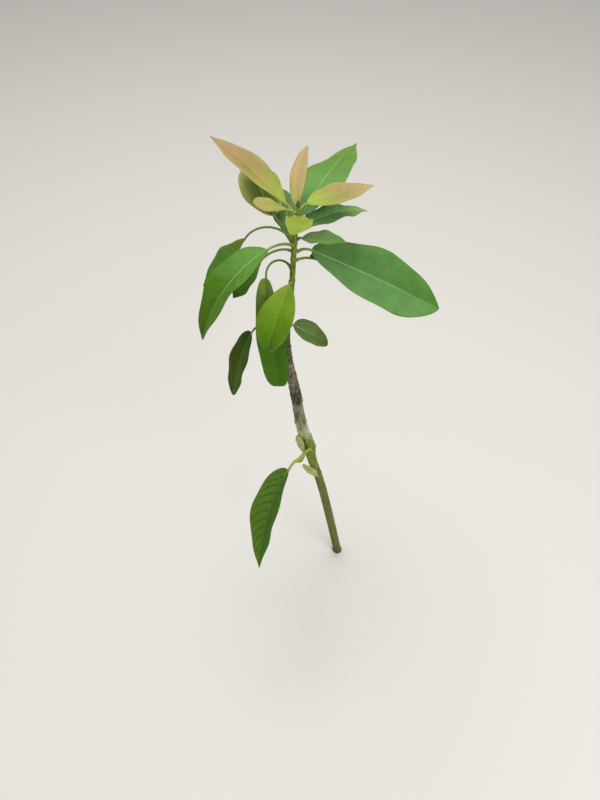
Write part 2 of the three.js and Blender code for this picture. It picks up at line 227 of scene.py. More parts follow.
# Mesh and surface of all leaves
leafMesh = {
    "grid": (96, 32), "smallGrid": (56, 20), "smallLength": 50,
    # columns crowd to the midrib and rows to the ends
    "columnPower": 1.35, "rowMix": 0.45,
    "thickness": 0.4, "thinPower": 4, "tipHalfWidth": 0.25, "waves": 2.5, "walkSteps": 24,
    "ribValley": 0.35, "ribValleyWidth": 2.2, "marginCurl": 0.4, "curlPower": 6,
    "creasePower": 1.3, "creaseEnd": 0.7, "quiltEnd": 0.4, "quiltFromRib": 5, "quiltPower": 3,
    "uneven": 0.5, "unevenSize": 14, "raggedTurns": 5, "raggedSide": 3,
    # side veins: how they bend to the margin, and how far one half is set off from the other
    "veinPower": 1.45, "veinOffset": 0.45,
    "rodSides": 10, "petioleRings": 26, "ribRings": 60, "ribEnd": 0.96,
    "ribSink": 0.45, "sinkPower": 3, "valleyShare": 0.5,
    "ribShare": 0.8, "ribTipShare": 0.16, "rootFlare": 0.45, "rootFlareReach": 2.4, "rootSink": 1.0,
    "stalkFlatness": 0.92, "lobeWidth": 0.35, "lobeShade": 3,
}
leafUsual = {
    "turn": 0, "swing": 0, "roll": 0, "belly": 0.46, "quilt": 0.22, "foldRadius": 1.0, "ragged": 0,
    "veinShow": 0.3, "veinWidth": 0.12, "wander": 0.35, "veinPairs": 9, "veinSweep": 0.17,
    "marginShow": 0.5, "marginReach": 5.0, "marginThin": 0.35, "blush": 0,
}


def smoothAt(places, values, x):
    last = len(places) - 1
    inside = min(max(x, places[0]), places[last])
    i = 0
    while i < last - 1 and inside >= places[i + 1]:
        i += 1

    def slope(k):
        a = max(k - 1, 0)
        b = min(k + 1, last)
        return (values[b] - values[a]) / (places[b] - places[a])

    span = places[i + 1] - places[i]
    t = (inside - places[i]) / span
    start = (2 * t**3 - 3 * t**2 + 1) * values[i] + (t**3 - 2 * t**2 + t) * span * slope(i)
    end = (3 * t**2 - 2 * t**3) * values[i + 1] + (t**3 - t**2) * span * slope(i + 1)
    return start + end


def mix(a, b, share):
    return a + (b - a) * share


# From 0 at both ends of a blade to 1 in its middle
def swelling(t):
    return math.sin(math.pi * min(1, max(0, t)))


def level(azimuth):
    return Vector((math.cos(azimuth), math.sin(azimuth), 0))


def stemRadius(height):
    return smoothAt(stem["heights"], stem["radii"], height)


def stemPoint(height):
    return Vector((smoothAt(stem["heights"], stem["lean"], height), 0, height))


def barkRadius(height, azimuth):
    radius = stemRadius(height)
    for swollen in stem["swellings"]:
        away = (height - swollen["height"]) / swollen["reach"]
        facing = max(0, math.cos(azimuth - math.radians(swollen["azimuth"])))
        radius += swollen["swell"] * facing * math.exp(-away * away)
    return radius


# Colours and shader nodes

def colour(hexText):
    parts = [int(hexText[i:i + 2], 16) / 255 for i in (0, 2, 4)]
    linear = [c / 12.92 if c <= 0.04045 else ((c + 0.055) / 1.055) ** 2.4 for c in parts]
    return (*linear, 1)


def tone(name):
    return colour(tones[name])


def place(tree, socket, value):
    if isinstance(value, bpy.types.NodeSocket):
        tree.links.new(value, socket)
    else:
        socket.default_value = value


def calculate(tree, operation, *values):
    node = tree.nodes.new("ShaderNodeMath")
    node.operation = operation
    for socket, value in zip(node.inputs, values):
        place(tree, socket, value)
    return node.outputs[0]


def product(tree, first, *others):
    for value in others:
        first = calculate(tree, "MULTIPLY", first, value)
    return first


# Sum of values, each times its share
def summed(tree, *parts):
    total = 0.0
    for value, share in parts:
        total = calculate(tree, "MULTIPLY_ADD", value, share, total)
    return total


def rangeOf(tree, value, low, high, outLow=0.0, outHigh=1.0):
    node = tree.nodes.new("ShaderNodeMapRange")
    node.interpolation_type = "SMOOTHSTEP"
    place(tree, node.inputs["Value"], value)
    node.inputs["From Min"].default_value = low
    node.inputs["From Max"].default_value = high
    node.inputs["To Min"].default_value = outLow
    node.inputs["To Max"].default_value = outHigh
    return node.outputs[0]


def blendColours(tree, factor, first, second, kind="MIX"):
    node = tree.nodes.new("ShaderNodeMix")
    node.data_type = "RGBA"
    node.blend_type = kind
    place(tree, node.inputs[0], factor)
    place(tree, node.inputs[6], first)
    place(tree, node.inputs[7], second)
    return node.outputs[2]


# Lays a tone over a shade, as strongly as the product of the masks says
def tinted(tree, shade, toneName, *masks):
    return blendColours(tree, product(tree, *masks), shade, tone(toneName))


# The same where a value is in the range of a mark, which is low, high and strength
def marked(tree, shade, toneName, value, mark, zone=1.0):
    low, high, strength = mark
    return tinted(tree, shade, toneName, rangeOf(tree, value, low, high), zone, strength)


def dimmed(tree, shade, light):
    return blendColours(tree, 1.0, shade, light, "MULTIPLY")


def noiseOf(tree, position, scale, detail=3.0, roughness=0.5):
    node = tree.nodes.new("ShaderNodeTexNoise")
    place(tree, node.inputs["Vector"], position)
    node.inputs["Scale"].default_value = scale
    node.inputs["Detail"].default_value = detail
    node.inputs["Roughness"].default_value = roughness
    return node.outputs["Fac"]


def stretched(tree, position, scale):
    node = tree.nodes.new("ShaderNodeMapping")
    place(tree, node.inputs["Vector"], position)
    node.inputs["Scale"].default_value = scale
    return node.outputs[0]


def objectPosition(tree):
    return tree.nodes.new("ShaderNodeTexCoord").outputs["Object"]


def splitOf(tree, vector):
    node = tree.nodes.new("ShaderNodeSeparateXYZ")
    tree.links.new(vector, node.inputs[0])
    return node.outputs


# The map that each piece carries: x runs along it, y across it
def mapOf(tree):
    node = tree.nodes.new("ShaderNodeUVMap")
    node.uv_map = "pieceMap"
    return node.outputs[0]


# Colour ramp through tones: each stop is a place and the name of its tone
def rampOf(tree, value, stops):
    node = tree.nodes.new("ShaderNodeValToRGB")
    place(tree, node.inputs[0], value)
    ramp = node.color_ramp
    ramp.elements[0].position = stops[0][0]
    ramp.elements[0].color = tone(stops[0][1])
    ramp.elements[1].position = stops[-1][0]
    ramp.elements[1].color = tone(stops[-1][1])
    for position, name in stops[1:-1]:
        ramp.elements.new(position).color = tone(name)
    return node.outputs[0]


def newMaterial(name, roughness, gloss=0.3):
    material = bpy.data.materials.new(name)
    material.use_nodes = True
    tree = material.node_tree
    shader = tree.nodes["Principled BSDF"]
    shader.inputs["Roughness"].default_value = roughness
    shader.inputs["Specular IOR Level"].default_value = gloss
    return material, tree, shader


# Gives a shader its colour, and its relief as a bump
def dress(tree, shader, shade, relief, distance, strength):
    node = tree.nodes.new("ShaderNodeBump")
    node.inputs["Distance"].default_value = distance
    node.inputs["Strength"].default_value = strength
    place(tree, node.inputs["Height"], relief)
    tree.links.new(node.outputs[0], shader.inputs["Normal"])
    tree.links.new(shade, shader.inputs["Base Color"])


def newGroup(name, inputs, outputs):
    group = bpy.data.node_groups.new(name, "ShaderNodeTree")
    for socketName, kind in inputs.items():
        group.interface.new_socket(name=socketName, in_out="INPUT", socket_type=kind)
    for socketName in outputs:
        group.interface.new_socket(name=socketName, in_out="OUTPUT", socket_type="NodeSocketFloat")
    return group, group.nodes.new("NodeGroupInput").outputs, group.nodes.new("NodeGroupOutput").inputs


def giveOut(group, sockets, values):
    for name, value in values.items():
        group.links.new(value, sockets[name])


def useGroup(tree, group, **values):
    node = tree.nodes.new("ShaderNodeGroup")
    node.node_tree = group
    for name, value in values.items():
        place(tree, node.inputs[name], value)
    return node.outputs


# Ranges below are low and high, and where four are given, what low and high become
bladeLook = {
    "roughness": (0.3, 0.7, 0.46, 0.6), "stops": (0.06, 0.5, 0.95),
    "blushPatches": (0.38, 0.62), "blushStart": (0.1, 0.45), "mottle": (0.3, 0.7, 0.9, 1.1),
    "veinPatches": (0.35, 0.65, 0.6, 1.0), "net": 0.1, "rib": 0.8,
    "relief": {"Laterals": -0.8, "Bulge": 0.5}, "fineRelief": {"Net": -0.22, "Grain": 0.12},
}
undersideLook = {"laterals": 0.7, "net": 0.3, "raisedNet": 0.4}
stalkLook = {"stretch": (1, 1, 0.35), "streaks": (0.4, 0.8), "under": (0.82, 0.42), "rib": (0.0, 0.12)}


# Veins of a blade from its own map: x runs from base to tip, y from margin to margin
def makeVeinGroup():
    group, given, out = newGroup(
        "leafVeins",
        {"Map": "NodeSocketVector", "Pairs": "NodeSocketFloat", "Sweep": "NodeSocketFloat",
         "Width": "NodeSocketFloat", "Wander": "NodeSocketFloat"},
        ["Along", "Aside", "Laterals", "Bulge", "Midrib", "LeftHalf"])
    along, mapAcross = splitOf(group, given["Map"])[:2]
    across = calculate(group, "MULTIPLY_ADD", mapAcross, 2.0, -1.0)
    aside = calculate(group, "ABSOLUTE", across)
    offset = product(group, calculate(group, "GREATER_THAN", across, 0.0), leafMesh["veinOffset"])
    swept = product(group, calculate(group, "POWER", aside, leafMesh["veinPower"]), given["Sweep"])
    phase = product(group, calculate(group, "SUBTRACT", along, swept), given["Pairs"])
    spread = noiseOf(group, stretched(group, given["Map"], (9, 5, 1)), scale=1.0, detail=2.0)
    drift = product(group, calculate(group, "SUBTRACT", spread, 0.5), given["Wander"])
    phase = calculate(group, "ADD", calculate(group, "ADD", phase, drift), offset)
    turn = calculate(group, "SUBTRACT", calculate(group, "FRACT", phase), 0.5)
    nearness = product(group, calculate(group, "ABSOLUTE", turn), 2.0)
    line = rangeOf(group, calculate(group, "ADD", nearness, given["Width"]), low=1.0, high=1.14)
    inner = rangeOf(group, aside, low=1.0, high=0.7)
    domed = calculate(group, "SUBTRACT", 1.0, calculate(group, "POWER", nearness, 2.0))
    narrowing, baseWidth = -0.05, 0.08
    ribWidth = calculate(group, "MULTIPLY_ADD", along, narrowing, baseWidth)
    midrib = calculate(group, "SUBTRACT", 1.0, calculate(group, "DIVIDE", aside, ribWidth))
    midrib.node.use_clamp = True
    giveOut(group, out, {
        "Along": along, "Aside": aside, "Midrib": midrib, "Bulge": product(group, domed, inner),
        "Laterals": product(group, line, inner, rangeOf(group, along, low=0.97, high=0.85)),
        "LeftHalf": rangeOf(group, across, low=-0.03, high=0.03)})
    return group


# Fine net of veins, slow mottling and grain, in the object's own space
def makeTissueGroup():
    outputs = ["Net", "Mottle", "Grain"]
    group, given, out = newGroup("leafTissue", {"Position": "NodeSocketVector"}, outputs)
    position = given["Position"]
    cells = group.nodes.new("ShaderNodeTexVoronoi")
    cells.feature = "DISTANCE_TO_EDGE"
    cells.inputs["Scale"].default_value = 520
    group.links.new(position, cells.inputs["Vector"])
    giveOut(group, out, {
        "Net": rangeOf(group, cells.outputs["Distance"], low=0.12, high=0.0),
        "Mottle": noiseOf(group, position, scale=70, detail=3.0, roughness=0.55),
        "Grain": noiseOf(group, position, scale=900, detail=2.0)})
    return group


veinGroup = makeVeinGroup()
tissueGroup = makeTissueGroup()


def veinsOf(tree, leaf):
    return useGroup(tree, veinGroup, Map=mapOf(tree), Pairs=leaf["veinPairs"], Sweep=leaf["veinSweep"],
                    Width=leaf["veinWidth"], Wander=leaf["wander"])


def bladeMaterial(name, leaf):
    look = bladeLook
    margin, vein = leaf["tones"][3:]
    material, tree, shader = newMaterial(name, roughness=0.5, gloss=leaf["gloss"])
    veins = veinsOf(tree, leaf)
    tissue = useGroup(tree, tissueGroup, Position=objectPosition(tree))
    shade = rampOf(tree, veins["Along"], list(zip(look["stops"], leaf["tones"])))
    # A half tint: on leaf_large_right, leaf_large_left and leaf_graft_hanging it is a painted sheen, the
    # half that faces the light made lighter
    if "leftHalf" in leaf:
        halfTone, strength = leaf["leftHalf"]
        shade = tinted(tree, shade, halfTone, veins["LeftHalf"], strength)
    if "rightHalf" in leaf:
        halfTone, strength = leaf["rightHalf"]
        other = calculate(tree, "SUBTRACT", 1.0, veins["LeftHalf"])
        shade = tinted(tree, shade, halfTone, other, strength)
    if leaf["blush"] > 0:
        patches = rangeOf(tree, tissue["Mottle"], *look["blushPatches"])
        outward = rangeOf(tree, veins["Along"], *look["blushStart"])
        shade = tinted(tree, shade, "rose", patches, leaf["blush"], veins["Bulge"], outward)
    edge = calculate(tree, "POWER", veins["Aside"], leaf["marginReach"])
    shade = tinted(tree, shade, margin, edge, leaf["marginShow"])
    shade = dimmed(tree, shade, rangeOf(tree, tissue["Mottle"], *look["mottle"]))
    uneven = rangeOf(tree, tissue["Mottle"], *look["veinPatches"])
    shade = tinted(tree, shade, vein, veins["Laterals"], uneven, leaf["veinShow"])
    shade = tinted(tree, shade, vein, tissue["Net"], look["net"])
    shade = tinted(tree, shade, leaf.get("rib", vein), veins["Midrib"], look["rib"])
    tree.links.new(rangeOf(tree, tissue["Mottle"], *look["roughness"]), shader.inputs["Roughness"])
    parts = [(veins[name], share) for name, share in look["relief"].items()]
    parts += [(tissue[name], share) for name, share in look["fineRelief"].items()]
    dress(tree, shader, shade, summed(tree, *parts), distance=0.0004, strength=0.4)
    return material


def undersideMaterial(name, pale, dark, vein):
    look = undersideLook
    material, tree, shader = newMaterial(name, roughness=0.65, gloss=0.12)
    veins = veinsOf(tree, leafUsual)
    tissue = useGroup(tree, tissueGroup, Position=objectPosition(tree))
    shade = blendColours(tree, tissue["Mottle"], tone(pale), tone(dark))
    faint = product(tree, veins["Laterals"], look["laterals"])
    shade = tinted(tree, shade, vein, calculate(tree, "MAXIMUM", faint, veins["Midrib"]))
    shade = tinted(tree, shade, vein, tissue["Net"], look["net"])
    relief = summed(tree, (veins["Laterals"], 1.0), (tissue["Net"], look["raisedNet"]))
    dress(tree, shader, shade, relief, distance=0.0004, strength=0.6)
    return material


# A stalk is painted lighter on its upper side and darker below, as light falls (on the graft leaf the
# lower tone is also the green of its lobe), and takes the midrib's tone where it runs into the blade
def stalkMaterial(name, light, dark, rib):
    look = stalkLook
    material, tree, shader = newMaterial(name, roughness=0.5, gloss=0.15)
    position = objectPosition(tree)
    along, across = splitOf(tree, mapOf(tree))[:2]
    streaks = noiseOf(tree, stretched(tree, position, look["stretch"]), scale=420, detail=2.0)
    darker = calculate(tree, "MAXIMUM", rangeOf(tree, across, *look["under"]),
                       rangeOf(tree, streaks, *look["streaks"]))
    shade = blendColours(tree, darker, tone(light), tone(dark))
    shade = tinted(tree, shade, rib, rangeOf(tree, along, *look["rib"]))
    grain = noiseOf(tree, position, scale=1200, detail=2.0)
    dress(tree, shader, shade, grain, distance=0.0002, strength=0.3)
    return material


undersideTones = {
    "mature": ("sage", "softOlive", "paleGreen"), "bright": ("straw", "bright", "honey"),
    "shaded": ("softOlive", "leafGreen", "sage"), "flush": ("bronze", "straw", "honey"),
}
# Stalk tones: the upper side, the lower side in painted shade, and the midrib
stalkTones = {
    "mature": ("straw", "freshOlive", "ribPale"), "bright": ("straw", "bright", "lime"),
    "shaded": ("freshOlive", "softOlive", "softOlive"), "flush": ("honey", "youngLime", "honey"),
    "graft": ("cutLemon", "lobeGreen", "sage"),
}
undersides = {kind: undersideMaterial(kind + "Under", *shades) for kind, shades in undersideTones.items()}
stalks = {kind: stalkMaterial(kind + "Stalk", *shades) for kind, shades in stalkTones.items()}
print("leaf materials made")


# Geometry of blades and stalks

def halfWidth(leaf, t):
    power = math.log(0.5) / math.log(leaf["belly"])
    sharpness = mix(leaf["shoulder"], leaf["point"], t)
    bulge = max(0.0, swelling(min(1, max(0, t)) ** power))
    tip = leafMesh["tipHalfWidth"]
    return tip + (leaf["width"] / 2 - tip) * bulge ** sharpness


# Direction of growth and of the right side, at s millimetres from the root
def heading(leaf, s):
    p = min(1, max(0, s) / leaf["petiole"])
    t = max(0, (s - leaf["petiole"]) / leaf["length"])
    climb = math.radians(mix(leaf["rise"], leaf["lift"], p) - leaf["bend"] * t)
    azimuth = math.radians(leaf["azimuth"] + leaf["turn"] * p + leaf["swing"] * t)
    tangent = level(azimuth) * math.cos(climb) + Vector((0, 0, math.sin(climb)))
    side = Vector((math.sin(azimuth), -math.cos(azimuth), 0))
    side.rotate(Matrix.Rotation(-math.radians(leaf["roll"]) * p, 3, tangent))
    return tangent, side


def rootDistance(leaf):
    tilt = abs(math.sin(math.radians(leaf["rise"])))
    slant = abs(math.sin(math.radians(leaf["azimuth"] - leaf["seat"])))
    bark = barkRadius(leaf["height"], math.radians(leaf["seat"]))
    return bark + stem["seatGap"] + leaf["petioleRadius"] * max(tilt, slant)


def midline(leaf, s):
    spot = stemPoint(leaf["height"]) + level(math.radians(leaf["seat"])) * rootDistance(leaf)
    steps = leafMesh["walkSteps"]
    for i in range(steps):
        spot += heading(leaf, (i + 0.5) * s / steps)[0] * (s / steps)
    tangent, side = heading(leaf, s)
    return spot, side, side.cross(tangent)


# How far the middle of a blade is sunk between its halves
def creaseDepth(leaf, t):
    return leaf["crease"] * swelling(t) ** leafMesh["creaseEnd"]


# Height of the upper surface over the midline's plane
def bladeLift(leaf, t, across, width, seed):
    sizes = leafMesh
    share = abs(across)
    distance = share * width
    middle = swelling(t)
    rounded = math.hypot(distance, leaf["foldRadius"]) - leaf["foldRadius"]
    lift = rounded * math.sin(math.radians(leaf["fold"]))
    lift += leaf["wave"] * math.sin(2 * math.pi * sizes["waves"] * t) * share**2 * middle
    offset = sizes["veinOffset"] if across > 0 else 0
    turn = (leaf["veinPairs"] * (t - leaf["veinSweep"] * share ** sizes["veinPower"]) + offset) % 1
    domed = 1 - (abs(turn - 0.5) * 2) ** 2
    reach = (1 - share ** sizes["quiltPower"]) * min(1, share * sizes["quiltFromRib"])
    lift += leaf["quilt"] * domed * reach * middle ** sizes["quiltEnd"]
    lift -= sizes["ribValley"] * math.exp(-(distance / sizes["ribValleyWidth"]) ** 2) * (1 - t)
    lift -= sizes["marginCurl"] * share ** sizes["curlPower"]
    lift -= creaseDepth(leaf, t) * (1 - share) ** sizes["creasePower"]
    size = sizes["unevenSize"]
    spot = Vector((t * leaf["length"] / size + seed, across * width / size, seed))
    return lift + sizes["uneven"] * noise.noise(spot) * share * middle


meshLayers = ("along", "across", "turn", "thick")


def startMesh():
    bm = bmesh.new()
    for layer in meshLayers:
        bm.verts.layers.float.new(layer)
    return bm


def ofKind(items, kind):
    return [item for item in items if isinstance(item, kind)]


def startRing(bm, sides, capped):
    turn = bm.verts.layers.float["turn"]
    ring = bmesh.ops.create_circle(bm, cap_ends=capped, radius=1, segments=sides)["verts"]
    for i, vert in enumerate(ring):
        vert[turn] = 2 * math.pi * i / sides
    return ring, list({edge for vert in ring for edge in vert.link_edges})


def nextRing(bm, edges):
    grown = bmesh.ops.extrude_edge_only(bm, edges=edges)["geom"]
    return ofKind(grown, bmesh.types.BMVert), ofKind(grown, bmesh.types.BMEdge)


# A closed blade from its lifted upper side; its lower side takes the second material
def growBlade(bm, leaf, grid, thickness, seed, lifting):
    along = bm.verts.layers.float["along"]
    across = bm.verts.layers.float["across"]
    thick = bm.verts.layers.float["thick"]
    grown = bmesh.ops.create_grid(bm, x_segments=grid[0], y_segments=grid[1], size=1)
    flatness = math.cos(math.radians(leaf["fold"]))
    lines = {}
    for vert in grown["verts"]:
        x = (vert.co.x + 1) / 2
        y = math.copysign(abs(vert.co.y) ** leafMesh["columnPower"], vert.co.y)
        t = mix(x, (1 - math.cos(math.pi * x)) / 2, leafMesh["rowMix"])
        if t not in lines:
            lines[t] = midline(leaf, leaf["petiole"] + t * leaf["length"])
        spot, side, normal = lines[t]
        aside = math.copysign(leafMesh["raggedSide"], y)
        uneven = noise.noise(Vector((t * leafMesh["raggedTurns"] + seed, aside, seed)))
        width = halfWidth(leaf, t) * (1 + leaf["ragged"] * uneven)
        vert[thick] = thickness * (1 - leaf["marginThin"] * abs(y) ** leafMesh["thinPower"])
        lift = lifting(leaf, t, y, width, seed) + vert[thick] / 2
        vert.co = (spot - side * (y * width * flatness) + normal * lift) * millimetre
        vert[along] = t
        vert[across] = (y + 1) / 2
    top = list({face for vert in grown["verts"] for face in vert.link_faces})
    rim = [edge for edge in {e for face in top for e in face.edges} if edge.is_boundary]
    lower = bmesh.ops.duplicate(bm, geom=top + rim + grown["verts"])["geom"]
    lowerFaces = ofKind(lower, bmesh.types.BMFace)
    bm.normal_update()
    for vert in ofKind(lower, bmesh.types.BMVert):
        vert.co -= vert.normal * vert[thick] * millimetre
    for face in lowerFaces:
        face.material_index = 1
    lowerRim = {edge for face in lowerFaces for edge in face.edges if edge.is_boundary}
    bmesh.ops.bridge_loops(bm, edges=rim + list(lowerRim))


# A tube of rings: each is a centre, two axes, its half-sizes along them, its place along the blade,
# and how lobed it is, from 0 to 1
def growTube(bm, rings, sides, materialIndex):
    turn = bm.verts.layers.float["turn"]
    along = bm.verts.layers.float["along"]
    across = bm.verts.layers.float["across"]
    ring, edges = startRing(bm, sides, False)
    firstEdges = edges
    verts = []
    for index, (centre, side, up, wide, high, t, lobed) in enumerate(rings):
        if index > 0:
            ring, edges = nextRing(bm, edges)
        for vert in ring:
            rise = math.sin(vert[turn])
            vert.co = (centre + side * (wide * math.cos(vert[turn])) + up * (high * rise)) * millimetre
            vert[along] = t
            vert[across] = 0.5 + 0.5 * rise * abs(rise) ** (leafMesh["lobeShade"] * lobed)
        verts += ring
    bmesh.ops.contextual_create(bm, geom=edges)
    bmesh.ops.contextual_create(bm, geom=firstEdges)
    for face in {face for vert in verts for face in vert.link_faces}:
        face.material_index = materialIndex


def finishMesh(bm, name, materials, node):
    bmesh.ops.recalc_face_normals(bm, faces=bm.faces)
    uv = bm.loops.layers.uv.new("pieceMap")
    along = bm.verts.layers.float["along"]
    across = bm.verts.layers.float["across"]
    for face in bm.faces:
        face.smooth = True
        for loop in face.loops:
            loop[uv].uv = (loop.vert[along], loop.vert[across])
    for layer in meshLayers:
        bm.verts.layers.float.remove(bm.verts.layers.float[layer])
    mesh = bpy.data.meshes.new(name)
    bm.to_mesh(mesh)
    bm.free()
    piece = bpy.data.objects.new(name, mesh)
    bpy.context.scene.collection.objects.link(piece)
    for material in materials:
        mesh.materials.append(material)
    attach(piece, "root")
    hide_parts(node)


# Rings of a stalk: the petiole with its lobe, then the rib under the blade
def stalkRings(leaf):
    sizes = leafMesh
    rings = []
    petiole = leaf["petiole"]
    radius = leaf["petioleRadius"]
    lobe = leaf.get("lobe", {"start": 0, "end": petiole, "drop": (0, 0, 0), "swell": 0})
    for i in range(sizes["petioleRings"] + 1):
        s = mix(-sizes["rootSink"], petiole, i / sizes["petioleRings"])
        spot, side, normal = midline(leaf, s)
        flare = sizes["rootFlare"] * math.exp(-max(0, s) / sizes["rootFlareReach"])
        size = radius * mix(1 + flare, sizes["ribShare"], max(0, s) / petiole)
        sunk = sizes["ribSink"] * radius * max(0, s / petiole) ** sizes["sinkPower"]
        swollen = swelling((s - lobe["start"]) / (lobe["end"] - lobe["start"])) ** 2
        down = Vector(lobe["drop"]) * swollen
        wide = size + lobe["swell"] * sizes["lobeWidth"] * swollen
        high = size * sizes["stalkFlatness"] + lobe["swell"] * swollen
        rings.append((spot - normal * sunk + down, side, normal, wide, high, 0, swollen))
    for i in range(1, sizes["ribRings"] + 1):
        t = sizes["ribEnd"] * i / sizes["ribRings"]
        spot, side, normal = midline(leaf, petiole + t * leaf["length"])
        size = radius * mix(sizes["ribShare"], sizes["ribTipShare"], math.sqrt(t))
        valley = sizes["ribValley"] * (1 - t) * sizes["valleyShare"]
        sunk = sizes["ribSink"] * size + valley + creaseDepth(leaf, t)
        rings.append((spot - normal * sunk, side, normal, size, size, t, 0))
    return rings


def makeLeaf(name, sizes, seed):
    kind = leafKinds[sizes["kind"]]
    leaf = {"seat": sizes["azimuth"], **leafUsual, **kind, **sizes}
    small = leaf["length"] < leafMesh["smallLength"]
    grid = leafMesh["smallGrid" if small else "grid"]
    bm = startMesh()
    growBlade(bm, leaf, grid, leafMesh["thickness"], seed, bladeLift)
    growTube(bm, stalkRings(leaf), leafMesh["rodSides"], 2)
    stalk = stalks[leaf.get("stalk", leaf["kind"])]
    materials = [bladeMaterial(name + "_top", leaf), undersides[leaf["kind"]], stalk]
    finishMesh(bm, name + "_fine", materials, name)


for seed, (name, sizes) in enumerate(leaves.items()):
    makeLeaf(name, sizes, 3.7 * seed)
print("leaves made")


# Stem with its bark relief

def turnedFrom(azimuth, degrees):
    turned = azimuth - math.radians(degrees)
    return math.atan2(math.sin(turned), math.cos(turned))


def barkRelief(height, azimuth):
    around = level(azimuth) * barkRadius(height, azimuth)
    relief = 0
    for acrossScale, alongScale, offset, share in stem["grain"]:
        spot = (around.x * acrossScale, around.y * acrossScale, height * alongScale + offset)
        relief += share * noise.noise(Vector(spot))
    relief *= smoothAt(stem["roughHeights"], stem["rough"], height)
    for ringHeight, swell, reach in stem["nodeRings"]:
        tilted = height - ringHeight - stem["ringTilt"] * math.cos(azimuth - ringHeight)
        groove = (tilted - stem["groovePlace"] * reach) / (stem["grooveReach"] * reach)
        relief += swell * math.exp(-(tilted / reach) ** 2)
        relief -= stem["grooveDepth"] * swell * math.exp(-groove ** 2)
    for knobHeight, knobAzimuth, out, reach in stem["knobs"]:
        if abs(height - knobHeight) < stem["cutoff"] * reach:
            away = turnedFrom(azimuth, knobAzimuth) * stemRadius(height)
            relief += out * math.exp(-(math.hypot(height - knobHeight, away) / reach) ** 2)
    for cutHeight, cutAzimuth, reach, spread, slant, depth in stem["cuts"]:
        if abs(height - cutHeight) < stem["cutoff"] * reach:
            away = turnedFrom(azimuth, cutAzimuth + slant * (height - cutHeight)) / math.radians(spread)
            relief -= depth * math.exp(-((height - cutHeight) / reach) ** 2 - away * away)
    return relief


# Tones of the bark by height in millimetres; the lowest one is painted shade where the stem meets the
# floor
barkTones = [
    (0, "footShade"), (16, "rootOlive"), (110, "rootYellow"), (205, "rootYellow"), (232, "graftOlive"),
    (258, "graftGreen"), (306, "graftGreen"), (320, "graftLime"), (326, "callusPale"),
    (341, "callusPale"), (349, "scionGrey"), (376, "scionGrey"), (388, "scionDark"),
    (402, "scionDark"), (412, "scionBrown"), (428, "scionBrown"), (442, "scionOlive"),
    (500, "shootDark"), (556, "shootGreen"), (596, "shootGreen"), (612, "shootDark"),
    (626, "shootLime"),
]

# Noises of the bark: how each is stretched, then its scale, detail and roughness
barkGrain = {
    "Streaks": ((1, 1, 0.12), (520, 4.0, 0.6)), "Patches": ((1, 1, 0.5), (150, 4.0, 0.6)),
    "Pores": ((1, 1, 1), (1300, 3.0, 0.6)), "Bands": ((1, 1, 0.05), (190, 2.0)),
    "Speckle": ((1, 1, 0.7), (330, 3.0, 0.65)),
}

# Parts of the bark by height in metres, and marks on it: low, high and strength
barkLook = {
    "roughness": (0.3, 0.7, 0.55, 0.85), "wander": 0.05, "rampTop": 0.63,
    "woodyStart": (0.34, 0.36), "woodyEnd": (0.5, 0.46), "knobblyStart": (0.215, 0.25),
    "brown": (0.52, 0.62, 0.6), "pale": (0.46, 0.36, 0.5), "speckle": (0.52, 0.68, 0.5),
    "fleck": (0.45, 0.32, 0.45), "ridge": (0.62, 0.85, 0.6), "crack": (0.44, 0.26, 0.75),
    "streaks": (0.3, 0.7, 0.74, 1.22), "bands": (0.35, 0.65, 0.82, 1.18),
    "dots": (0.4, 0.6, 0.0, 0.45), "dotSize": (0.24, 0.12), "dotStretch": (1, 1, 0.6),
    "relief": {"Streaks": 1.0, "Pores": 0.6, "Dots": 0.5},
    # the map of the stem holds its relief: the value of the plain surface, and its scale
    "plain": 0.5, "mapScale": 0.25,
}


def makeBarkGroup():
    group, given, out = newGroup("barkGrain", {"Position": "NodeSocketVector"}, [*barkGrain, "Dots"])
    position = given["Position"]
    for name, (stretch, grain) in barkGrain.items():
        group.links.new(noiseOf(group, stretched(group, position, stretch), *grain), out[name])
    cells = group.nodes.new("ShaderNodeTexVoronoi")
    cells.inputs["Scale"].default_value = 260
    group.links.new(stretched(group, position, barkLook["dotStretch"]), cells.inputs["Vector"])
    group.links.new(rangeOf(group, cells.outputs["Distance"], *barkLook["dotSize"]), out["Dots"])
    return group


barkGroup = makeBarkGroup()


